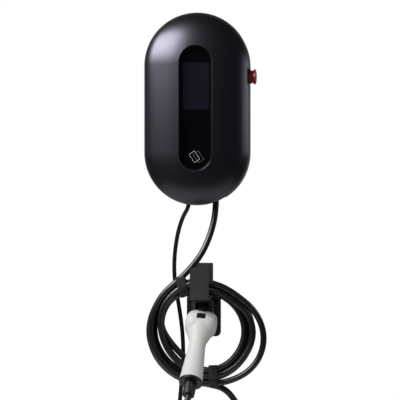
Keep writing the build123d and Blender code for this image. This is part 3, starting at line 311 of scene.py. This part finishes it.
supply_points = [
    (-15, -26, cable_exit_z),
    (-17.5, -26, -199),
    (-31.5, -22, -221),
    (-43, -15.5, -257),
    (-50, -9.5, -303),
    (-50, -8, -350),
    (-41.5, -8.2, -398),
    (-33.6, -8, -450),
    (-30.6, -8.2, -506),
    (-34.5, -8, -560),
    (-39.6, -8.3, -612),
    (-41, -9, -672),
    (-40, -10, -738),
    (-43, -10.6, -806),
    (-50, -10.2, -872),
    (-60, -9.4, -932),
]

drop_points = [
    (38, -26, cable_exit_z),
    (37.8, -26, -208),
    (29.5, -31, -250),
    (12, -41, -294),
]

# Turns of the coil, seen from the middle: angle from the right, radius to the cable's middle, depth
coil_turns = [
    [(104.6, 131, -54), (110, 122.5, -57), (117, 118, -59), (132, 116.8, -60), (147, 115.5, -60),
     (177, 113, -60), (207, 109, -60), (237, 105.5, -60), (267, 103, -60), (282, 105, -60), (297, 108.6, -59),
     (312, 114.5, -57), (327, 118.8, -55), (342, 119.5, -53), (357, 117.5, -53), (372, 112, -55),
     (387, 106, -58), (402, 98.5, -60), (417, 97, -60), (432, 98.5, -60), (447, 101, -60)],
    [(117, 104, -60), (147, 102, -60), (162, 98, -60), (177, 91.6, -60), (192, 87.5, -60), (207, 84.8, -60),
     (222, 82.6, -59.5), (237, 83.3, -59.5), (267, 90.2, -60), (297, 90, -60), (327, 91.5, -60), (357, 95.7, -60),
     (372, 95, -60), (387, 92.5, -60), (402, 85.5, -60), (417, 84, -60), (432, 85.5, -59), (447, 86.5, -57)],
    [(117, 90.5, -53.5), (132, 96.5, -48.5), (147, 100.5, -47.2), (162, 99, -47.2), (172, 95, -47.2),
     (181, 87, -47), (191, 79.3, -47), (203, 73, -47), (214, 69.8, -47), (226, 68.4, -47), (240, 69.2, -48),
     (253, 72.5, -52), (267, 77.4, -57), (297, 77, -57), (327, 76, -55), (357, 77.5, -52), (387, 78, -48),
     (402, 78, -48), (417, 79, -48), (432, 80, -46), (447, 81, -44)],
    [(117, 92.5, -41), (132, 96.5, -36), (147, 98.7, -34.4), (162, 96.8, -34.4), (177, 93.5, -34.4),
     (192, 89.8, -34.4), (207, 87, -34.4), (222, 84.9, -34.4), (237, 84, -34.6), (267, 83, -37), (297, 81.5, -36),
     (327, 80.5, -35), (357, 82, -34.6), (372, 84, -34.4), (387, 86, -34.4), (402, 88, -34.4),
     (417, 89.5, -34.4), (432, 92, -34), (447, 94, -34)],
    [(117, 106.5, -34), (132, 110, -34.4), (147, 111.8, -34.4), (162, 110.3, -34.4), (177, 108.6, -34.4),
     (192, 106.8, -34.4), (207, 103.4, -34.4), (222, 100, -34.4), (237, 98.3, -34.4), (267, 97, -34.6),
     (282, 96, -36.5), (297, 94, -42), (312, 92.5, -46.5), (327, 92, -47), (357, 93.5, -46.5),
     (372, 93.5, -46), (387, 94, -47), (402, 94, -47), (417, 94, -47.2), (432, 97, -47.2), (447, 101, -47.2)],
    [(117, 109, -47), (132, 112.5, -47.2), (147, 115, -47.2), (162, 116.5, -47.2), (177, 118, -47.2),
     (192, 116.3, -47.2), (207, 114.6, -47.2), (222, 112, -47.2), (237, 109.5, -47.2), (252, 106, -47.2),
     (267, 104, -47.2), (277, 107, -46)],
]

tail_points = [
    (58, -50, -569),
    (82, -63, -595),
    (113, -74, -648),
    (119, -92, -710),
    (99, -118, -766),
    (57, -152, -800),
    (12, -190, -796),
    (-18, -222, -752),
    (-25, -236, -698),
    (-17, -230, -642),
    (-6.1, -201.8, -586.3),
    (-3.9, -184.7, -566.8),
]


# All turns in one table, with the angle counting on from turn to turn
coil_table = np.array([
    (angle + 360 * turn, radius, depth)
    for turn, knots in enumerate(coil_turns)
    for angle, radius, depth in knots
])


def coil_place(angles):
    """Radius and depth of the coil's cable at angles that count on from turn to turn."""
    return [np.interp(angles, coil_table[:, 0], coil_table[:, column]) for column in (1, 2)]


def coil_points(step):
    """Points of all turns at even angles: each turn's radius and depth run on from its table to the next one's."""
    angles = np.arange(coil_table[0, 0], coil_table[-1, 0] + step / 2, step)
    radius, depth = coil_place(angles)
    # The curve runs inside its control points by a fixed share that depends on the step
    radius = radius / cos(radians(step / 2))
    turn = np.radians(angles)
    return np.stack(
        [coil_centre[0] + radius * np.cos(turn), depth, coil_centre[1] + radius * np.sin(turn)],
        axis=1,
    )


def cable(name, points, diameter):
    """Round cable along a smooth curve of order three."""
    curve = bpy.data.curves.new(name, "CURVE")
    curve.dimensions = "3D"
    spline = curve.splines.new("NURBS")
    spline.points.add(len(points) - 1)
    homogeneous = np.ones((len(points), 4))
    homogeneous[:, :3] = np.asarray(points) * MM
    spline.points.foreach_set("co", homogeneous.ravel())
    # Each point carries the cable's radius, and the section is drawn at radius 1
    spline.points.foreach_set("radius", np.full(len(points), diameter / 2 * MM))
    spline.order_u = 3
    spline.use_endpoint_u = True
    curve.resolution_u = 6
    curve.bevel_depth = 1.0
    curve.bevel_resolution = 6
    curve.use_fill_caps = True
    piece = bpy.data.objects.new(name, curve)
    bpy.context.scene.collection.objects.link(piece)
    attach(piece, "station")
    return piece


charging_cable = cable(
    "charging_cable", np.concatenate([drop_points, coil_points(15), tail_points]), charging_cable_d
)
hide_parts("charging_cable_drop", "charging_cable_coil", "charging_cable_tail")
supply_cable = cable("supply_cable_line", supply_points, supply_cable_d)
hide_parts("supply_cable")


# ---------------------------------------------------------------- straps round the coil


strap_thickness = 1.5
strap_room = 0.25
strap_overlap = 0.1
strap_climb = 0.06
strap_ripple = 0.12
strap_sway = 0.35


def eased(value):
    """Smooth step from 0 to 1 as a value runs from 0 to 1."""
    value = np.clip(value, 0, 1)
    return value * value * (3 - 2 * value)


def strand_places(angle):
    """Radius and depth of each cable of the coil at an angle, up to 12 degrees past the coil's end."""
    return np.stack(coil_place(np.arange(angle, coil_table[-1, 0] + 12, 360)), axis=1)


def strap(name, angle, lean, width, start, turns):
    """Hook-and-loop strap: a flat band wound round the cables' common outline, its end laid over its start.

    The outline is the hull of circles: for a direction, the furthest circle's edge in that direction.
    The band follows it at a height that steps up by its own thickness once it has gone round.
    """
    places = strand_places(angle)
    around = np.linspace(0, 2 * pi, 720, endpoint=False)
    normal = np.stack([np.cos(around), np.sin(around)], axis=1)
    furthest = np.argmax(places @ normal.T, axis=0)
    outline = places[furthest] + normal * (charging_cable_d / 2 + strap_room)
    steps = np.linalg.norm(np.roll(outline, -1, axis=0) - outline, axis=1)
    run = np.concatenate([[0], np.cumsum(steps)])
    closed = np.concatenate([outline, outline[:1]])
    normals = np.concatenate([normal, normal[:1]])
    count = 260
    along = np.linspace(start, start + turns, count)
    reached = along % 1 * run[-1]
    place = np.stack([np.interp(reached, run, closed[:, k]) for k in (0, 1)], axis=1)
    facing = np.stack([np.interp(reached, run, normals[:, k]) for k in (0, 1)], axis=1)
    facing /= np.linalg.norm(facing, axis=1, keepdims=True)
    climb = eased((along - start - 1 + strap_climb) / strap_climb) * (strap_thickness + strap_overlap)
    lift = climb + strap_ripple * (np.sin(along * 37) + 1)
    # Section of the band: a flat rounded bar, across from -1 to 1 and its height from 0 to 1
    bar = np.linspace(0, 2 * pi, 28, endpoint=False)
    across = np.sign(np.cos(bar)) * np.abs(np.cos(bar)) ** 0.25
    height = 0.5 + 0.5 * np.sign(np.sin(bar)) * np.abs(np.sin(bar)) ** 0.5
    out = place[:, None, :] + facing[:, None, :] * (lift[:, None, None] + strap_thickness * height[None, :, None])
    side = across[None, :] * width / 2 + strap_sway * np.sin(along * 11 + 1.3)[:, None]
    turn = radians(angle)
    radial = np.array([cos(turn), 0, sin(turn)])
    tangent = np.array([-sin(turn), 0, cos(turn)])
    tilt = radians(lean)
    band_radial = radial * cos(tilt) + tangent * sin(tilt)
    band_tangent = tangent * cos(tilt) - radial * sin(tilt)
    middle = places[:, 0].mean()
    centre = np.array([coil_centre[0], 0, coil_centre[1]]) + radial * middle
    corners = (
        centre
        + (out[..., 0] - middle)[..., None] * band_radial
        + side[..., None] * band_tangent
        + out[..., 1][..., None] * np.array([0, 1, 0])
    )
    faces = grid_faces(count, len(bar), close_columns=True).tolist()
    faces.append(list(range(len(bar)))[::-1])
    faces.append([(count - 1) * len(bar) + k for k in range(len(bar))])
    return mesh_piece(name, corners.reshape(-1, 3), faces, "station")


upper_strap = strap("upper_strap", 117.5, -10, 19, 0.1, 1.2)
lower_strap = strap("lower_strap", 279.5, -6.6, 17.5, 0.55, 1.2)
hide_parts("tie_upper")
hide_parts("tie_lower")


# ---------------------------------------------------------------- print on the window


def card_outline(name, centre, size, corner, line, lean, depth):
    """Printed outline of a card: a thin closed frame with rounded corners, leaning on the window's face.

    Each corner is an arc about its own centre. The frame's inside edge keeps the same centres
    with an arc smaller by the line's width.
    """
    quarter = np.radians(np.arange(0, 360, 7.5))
    corner_x = np.sign(np.cos(quarter + 1e-6)) * (size[0] / 2 - corner)
    corner_z = np.sign(np.sin(quarter + 1e-6)) * (size[1] / 2 - corner)
    rings = []
    for radius, out in ((corner, 0.0), (corner, 0.06), (corner - line, 0.06), (corner - line, 0.0)):
        x = corner_x + radius * np.cos(quarter)
        z = corner_z + radius * np.sin(quarter)
        turn = radians(lean)
        rings.append(np.stack(
            [
                centre[0] + x * cos(turn) - z * sin(turn),
                np.full_like(x, -depth - out),
                centre[1] + x * sin(turn) + z * cos(turn),
            ],
            axis=1,
        ))
    corners = np.concatenate(rings)
    return mesh_piece(name, corners, grid_faces(4, len(quarter), True, True)[:, ::-1], "station", smooth=False)


card_size = (13.6, 20.2)
card_corner = 0.9
card_lean = 33
card_depth = window_face + 0.02
front_card = card_outline("card_mark_front", (-2.6, -98.3), card_size, card_corner, 0.48, card_lean, card_depth)
back_card = card_outline("card_mark_back", (5.5, -98.6), card_size, card_corner, 0.38, card_lean, card_depth)


# ---------------------------------------------------------------- edge of the window and holder's screws


def window_rim(name, count, size):
    """Polished edge round the window's recess: a thin round bead on the line where the recess meets the cover.

    The recess widens evenly from the window to the front. The cover's front is half an ellipse
    across, carried round both ends, so its depth follows from the distance to its middle line.
    The depth and the width are settled by repeating both steps.
    """
    around = np.linspace(0, 2 * pi, count, endpoint=False)
    end = np.where(np.sin(around) >= 0, 1, -1) * recess_half_straight
    depth = np.full(count, 82.0)
    for _ in range(6):
        radius = recess_radius + (depth - window_face) * recess_slope
        x = radius * np.cos(around)
        z = end + radius * np.sin(around)
        from_middle = np.hypot(x, np.clip(np.abs(z) - cover_half_straight, 0, None))
        depth = cover_edge + cover_rise * np.sqrt(1 - (from_middle / cover_half_width) ** 2)
    outward = np.stack([np.cos(around), np.zeros(count), np.sin(around)], axis=1)
    middle = np.stack([x, -depth + 0.15, z], axis=1)
    bead = np.linspace(0, 2 * pi, 10, endpoint=False)
    corners = (
        middle[:, None, :]
        + size * np.cos(bead)[None, :, None] * outward[:, None, :]
        + size * np.sin(bead)[None, :, None] * np.array([0, -1, 0])
    )
    return mesh_piece(name, corners.reshape(-1, 3), grid_faces(count, len(bead), True, True), "station")


rim_bead = window_rim("window_rim_bead", 240, 0.42)


def countersunk_heads(name, places, radius, depth, sink):
    """Black countersunk screw heads with a crosswise recess, flush with the holder's plate.

    Each head is a disc of rings from its sunk underside over the rim to the middle. Points inside
    the cross's arms, across or along, lie deeper by the recess's depth.
    """
    count = 48
    arm_half_width, arm_length, recess = 0.6, radius * 0.62, 1.0
    rings = np.array([radius * 0.55, radius, radius * 0.96, radius * 0.7, radius * 0.5, radius * 0.3, 0.05])
    heights = np.array([-sink, -0.25, 0.0, 0.1, 0.12, 0.12, 0.12])
    around = np.linspace(0, 2 * pi, count, endpoint=False)
    x = rings[:, None] * np.cos(around)
    z = rings[:, None] * np.sin(around)
    cross = (np.minimum(np.abs(x), np.abs(z)) < arm_half_width) & (np.maximum(np.abs(x), np.abs(z)) < arm_length)
    y = heights[:, None] - recess * (cross & (rings[:, None] < radius * 0.75))
    head = np.stack([x, -depth - y, z], axis=-1).reshape(-1, 3)
    places = np.asarray(places, float)
    corners = head[None, :, :] + np.stack([places[:, 0], 0 * places[:, 0], places[:, 1]], axis=1)[:, None, :]
    faces = grid_faces(len(rings), count, close_columns=True)
    caps = [list(range(count)), list(range(len(head) - count, len(head)))[::-1]]
    all_faces = []
    for index in range(len(places)):
        all_faces += (faces[:, ::-1] + index * len(head)).tolist()
        all_faces += [[corner + index * len(head) for corner in cap] for cap in caps]
    return mesh_piece(name, corners.reshape(-1, 3), all_faces, "station", smooth=False)


holder_screws = countersunk_heads(
    "holder_screw_heads", [(-14, -394), (36, -394), (-14, -454), (36, -454)], radius=4.9, depth=5.0, sink=2.4
)


# ---------------------------------------------------------------- plug mouldings

plug_roll = 6.5
head_centre = (11 - 2 * sin(radians(plug_roll)), -72, -436 - 2 * cos(radians(plug_roll)))
head_half = (31.5, 27.4)
head_squareness = 3.2
handle_tilt = radians(41)
handle_axis = np.array([0, -cos(handle_tilt), sin(handle_tilt)])
handle_radius = np.array([
    (8, 27.2), (15, 25.4), (23, 22.6), (35, 18.8), (47, 17.2), (60, 17.5), (76, 18.4), (138, 22.9),
])
blend_width = 22


def head_distance(point):
    """How far a point lies outside the head: along its ray from the middle, by its squared-off oval radius."""
    across = np.abs(point[:, 0]) / head_half[0]
    rise = np.where(point[:, 2] > 0, np.hypot(point[:, 1], point[:, 2]), np.abs(point[:, 1]))
    oval = (across ** head_squareness + (rise / head_half[1]) ** head_squareness) ** (1 / head_squareness)
    return (1 - 1 / np.maximum(oval, 0.01)) * np.hypot(point[:, 0], rise)


def handle_distance(point):
    """How far a point lies outside the handle: its distance from the axis less the handle's radius there."""
    along = point @ handle_axis
    out = np.linalg.norm(point - along[:, None] * handle_axis, axis=1)
    return out - np.interp(along, handle_radius[:, 0], handle_radius[:, 1])


def steepest(distance, point):
    """Unit direction in which a distance grows, from small steps each way."""
    step = 0.05 * np.eye(3)
    slope = np.stack([distance(point + side) - distance(point - side) for side in step], axis=1)
    return slope / np.maximum(np.linalg.norm(slope, axis=1, keepdims=True), 1e-9)


def blended_moulding(node, name, width):
    """Half of the plug's moulding with a soft hollow where the handle runs into the head.

    A point on the outside lies on one form and some distance b from the other. It moves out by
    (width - b) squared over 4 width, times how far the two forms' directions differ there and
    a smooth step along the handle, in the middle of both directions.
    """
    shape = bmesh.new()
    shape.from_mesh(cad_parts[node].data)
    bmesh.ops.remove_doubles(shape, verts=shape.verts, dist=0.01 * MM)
    bmesh.ops.subdivide_edges(shape, edges=shape.edges, cuts=2, use_grid_fill=True)
    mesh = bpy.data.meshes.new(name)
    shape.to_mesh(mesh)
    shape.free()
    corners = np.empty(len(mesh.vertices) * 3)
    mesh.vertices.foreach_get("co", corners)
    corners = corners.reshape(-1, 3) / MM
    roll = radians(plug_roll)
    axes = np.array([[cos(roll), 0, -sin(roll)], [sin(roll), 0, cos(roll)], [0, -1, 0]])
    point = (corners - head_centre) @ axes.T
    to_head, to_handle = head_distance(point), handle_distance(point)
    out_head, out_handle = steepest(head_distance, point), steepest(handle_distance, point)
    apart = np.maximum(to_head, to_handle)
    amount = np.clip(width - apart, 0, None) ** 2 / (4 * width)
    amount *= np.clip(1.6 * (1 - np.sum(out_head * out_handle, axis=1)), 0, 1)
    amount *= eased((point @ handle_axis + 2) / 12)
    amount *= np.abs(np.minimum(to_head, to_handle)) < 0.5
    share = np.clip(0.5 + 0.5 * (to_handle - to_head) / width, 0, 1)[:, None]
    way = share * out_head + (1 - share) * out_handle
    way /= np.maximum(np.linalg.norm(way, axis=1, keepdims=True), 0.3)
    moved = (point + amount[:, None] * way) @ axes + head_centre
    mesh.vertices.foreach_set("co", (moved * MM).ravel())
    mesh.polygons.foreach_set("use_smooth", np.full(len(mesh.polygons), True))
    mesh.set_sharp_from_angle(angle=radians(32))
    mesh.update()
    piece = bpy.data.objects.new(name, mesh)
    bpy.context.scene.collection.objects.link(piece)
    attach(piece, "station")
    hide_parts(node)
    return piece


front_moulding = blended_moulding("plug_shell_front", "plug_moulding_front", blend_width)
rear_moulding = blended_moulding("plug_shell_rear", "plug_moulding_rear", blend_width)


# ---------------------------------------------------------------- finishes on the pieces

housing = moulded("housing_charcoal", linear(10, 9, 14), 0.32, scale=1500, depth=0.04, spread=0.03, tint=0.1,
                  dust=0.0, specular=1.0, sheen=(0.84, 0.81, 1.0, 1))
plug_white = moulded("plug_white", linear(195, 195, 193), 0.45, depth=0.1, specular=0.3, dust=0.0, tint=0.02)
plug_black = moulded("plug_black", linear(15, 15, 16), 0.42, depth=0.2)
stop_dark = moulded("stop_dark_red", linear(92, 16, 22), 0.42, depth=0.1)
finishes = {
    "front_cover": housing,
    "rear_housing": moulded("tray_grey", linear(52, 52, 55), 0.55, depth=0.3),
    "wall_bracket": metal("zinc_plate", linear(170, 172, 170), 0.42),
    "display_lens": lens_finish(),
    "stop_head": moulded("stop_red", linear(140, 22, 28), 0.3, depth=0.06, dust=0.03),
    "stop_collar": stop_dark, "stop_plunger": stop_dark,
    "cable_holder": moulded("holder_black", linear(43, 43, 44), 0.5, scale=1100, depth=0.25, tint=0.1),
    "plug_shell_front": plug_white, "plug_shell_rear": plug_black,
    "plug_contacts": metal("contact_silver", linear(200, 198, 190), 0.22),
    "supply_ferrules": metal("ferrule_tin", linear(190, 190, 188), 0.35),
    "supply_cores": cores_finish(),
    "latch_pin": metal("pin_steel", linear(150, 150, 150), 0.3),
}
gland = moulded("gland_black", linear(22, 22, 23), 0.42, depth=0.2)
rubber = moulded("seal_rubber", linear(20, 20, 20), 0.7, depth=0.25, dust=0.1)
screw = metal("screw_steel", linear(150, 150, 148), 0.35)
board = moulded("board_green", linear(22, 92, 52), 0.35, scale=300, depth=0.15)
device = moulded("device_black", linear(38, 38, 40), 0.5)
device_grey = moulded("device_grey", linear(120, 120, 122), 0.5)
finishes.update({
    "stop_locknut": gland, "stop_contact_block": device_grey, "bracket_lock_screw": screw,
    "housing_gasket": rubber, "cover_screws": screw, "lens_seal": rubber,
    "display_module": device, "display_board": board, "reader_board": board, "board_screws": screw,
    "main_board": board, "main_board_screws": screw, "contactor": device, "power_supply_module": device_grey,
    "current_sensor_ring": device, "terminal_block": device_grey, "terminal_screws": screw,
    "plug_nose": plug_black, "plug_nose_seal": rubber, "latch_lever": plug_black,
    "plug_rear_cap": plug_black, "plug_cap_screws": screw, "plug_cable_nut": plug_black, "plug_cable_seal": rubber,
})
for side in ("supply", "charging"):
    for part in ("body", "nut", "locknut"):
        finishes[f"{side}_gland_{part}"] = gland
    finishes[f"{side}_gland_seal"] = rubber
for node, material in finishes.items():
    finish(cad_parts[node], material)

jacket = moulded("cable_jacket", linear(12, 12, 13), 0.36, scale=1400, depth=0.1, spread=0.1, tint=0.12,
                 dust=0.008, specular=0.8)
webbing = moulded("strap_webbing", linear(37, 38, 40), 0.85, scale=1600, depth=0.9, spread=0.1, tint=0.35, dust=0.1,
                  specular=0.25)
for pieces, material in (
    ((charging_cable, supply_cable), jacket),
    ((upper_strap, lower_strap), webbing),
    ((front_moulding, rear_moulding), plug_white),
    ((holder_screws,), gland),
    ((front_card,), moulded("print_light", linear(215, 217, 220), 0.5, dust=0.0)),
    ((back_card,), moulded("print_dim", linear(125, 126, 129), 0.5, dust=0.0)),
    ((rim_bead,), moulded("rim_polish", linear(44, 43, 50), 0.22, depth=0.0, spread=0.02, dust=0.0, specular=1.0)),
):
    for piece in pieces:
        finish(piece, material)


# ---------------------------------------------------------------- floor, light and camera


def softbox(name, place, aim, width, height, power):
    """Rectangular lamp that faces a point."""
    lamp = bpy.data.lights.new(name, "AREA")
    lamp.shape = "RECTANGLE"
    lamp.size = width
    lamp.size_y = height
    lamp.energy = power
    holder = bpy.data.objects.new(name, lamp)
    holder.location = place
    holder.rotation_euler = (Vector(aim) - Vector(place)).to_track_quat("-Z", "Y").to_euler()
    bpy.context.scene.collection.objects.link(holder)


softbox("key_left", place=(-0.98, -0.84, 0.74), aim=(-0.03, 0, 0.1), width=1.25, height=0.72, power=35)
softbox("side_right", place=(0.9, 0.0, 0.11), aim=(0.1, -0.04, 0.11), width=0.85, height=0.35, power=1.3)


def studio_world(ambient, gloss_front, gloss_behind):
    """White backdrop for the camera, an even ambient light, and reflections that brighten behind the object."""
    world = bpy.data.worlds.new("studio")
    bpy.context.scene.world = world
    world.use_nodes = True
    tree = world.node_tree
    tree.nodes.clear()
    direction = tree.nodes.new("ShaderNodeTexCoord").outputs["Generated"]
    apart = tree.nodes.new("ShaderNodeSeparateXYZ")
    tree.links.new(direction, apart.inputs[0])
    behind = add_node(tree, "ShaderNodeMapRange", {"interpolation_type": "SMOOTHSTEP"}, {
        "Value": apart.outputs["Y"], "From Min": -0.1, "From Max": 0.7,
        "To Min": gloss_front, "To Max": gloss_behind,
    })
    paths = tree.nodes.new("ShaderNodeLightPath")
    shiny = add_node(tree, "ShaderNodeMath", {"operation": "MAXIMUM"}, {
        0: paths.outputs["Is Glossy Ray"], 1: paths.outputs["Is Transmission Ray"],
    })
    plain = mixed(tree, "FLOAT", shiny.outputs[0], ambient, behind.outputs["Result"])
    seen = mixed(tree, "FLOAT", paths.outputs["Is Camera Ray"], plain, 1.0)
    background = add_node(tree, "ShaderNodeBackground", {}, {"Color": (1, 1, 1, 1), "Strength": seen})
    output = tree.nodes.new("ShaderNodeOutputWorld")
    tree.links.new(background.outputs[0], output.inputs["Surface"])


studio_world(ambient=0.42, gloss_front=0.012, gloss_behind=0.25)

floor_half = 1.1
floor_z = -1.06
floor_grey = 0.6
floor_mesh = bpy.data.meshes.new("floor")
floor_mesh.from_pydata(
    [(floor_half * x, floor_half * y, floor_z) for x, y in ((-1, -1), (1, -1), (1, 1), (-1, 1))],
    [],
    [(0, 1, 2, 3)],
)
floor = bpy.data.objects.new("floor", floor_mesh)
bpy.context.scene.collection.objects.link(floor)
floor_material, _, floor_shader, _ = new_finish("floor_pale")
floor_shader.inputs["Base Color"].default_value = (floor_grey, floor_grey, floor_grey, 1)
floor_shader.inputs["Roughness"].default_value = 0.8
floor_mesh.materials.append(floor_material)

lens = bpy.data.cameras.new("camera")
lens.lens = camera_lens
lens.sensor_width = 36
camera = bpy.data.objects.new("camera", lens)
camera.location = camera_place
camera.rotation_euler = (radians(90), 0, radians(camera_turn))
bpy.context.scene.collection.objects.link(camera)
bpy.context.scene.camera = camera
bpy.context.scene.view_settings.view_transform = "Standard"

bpy.context.view_layer.update()
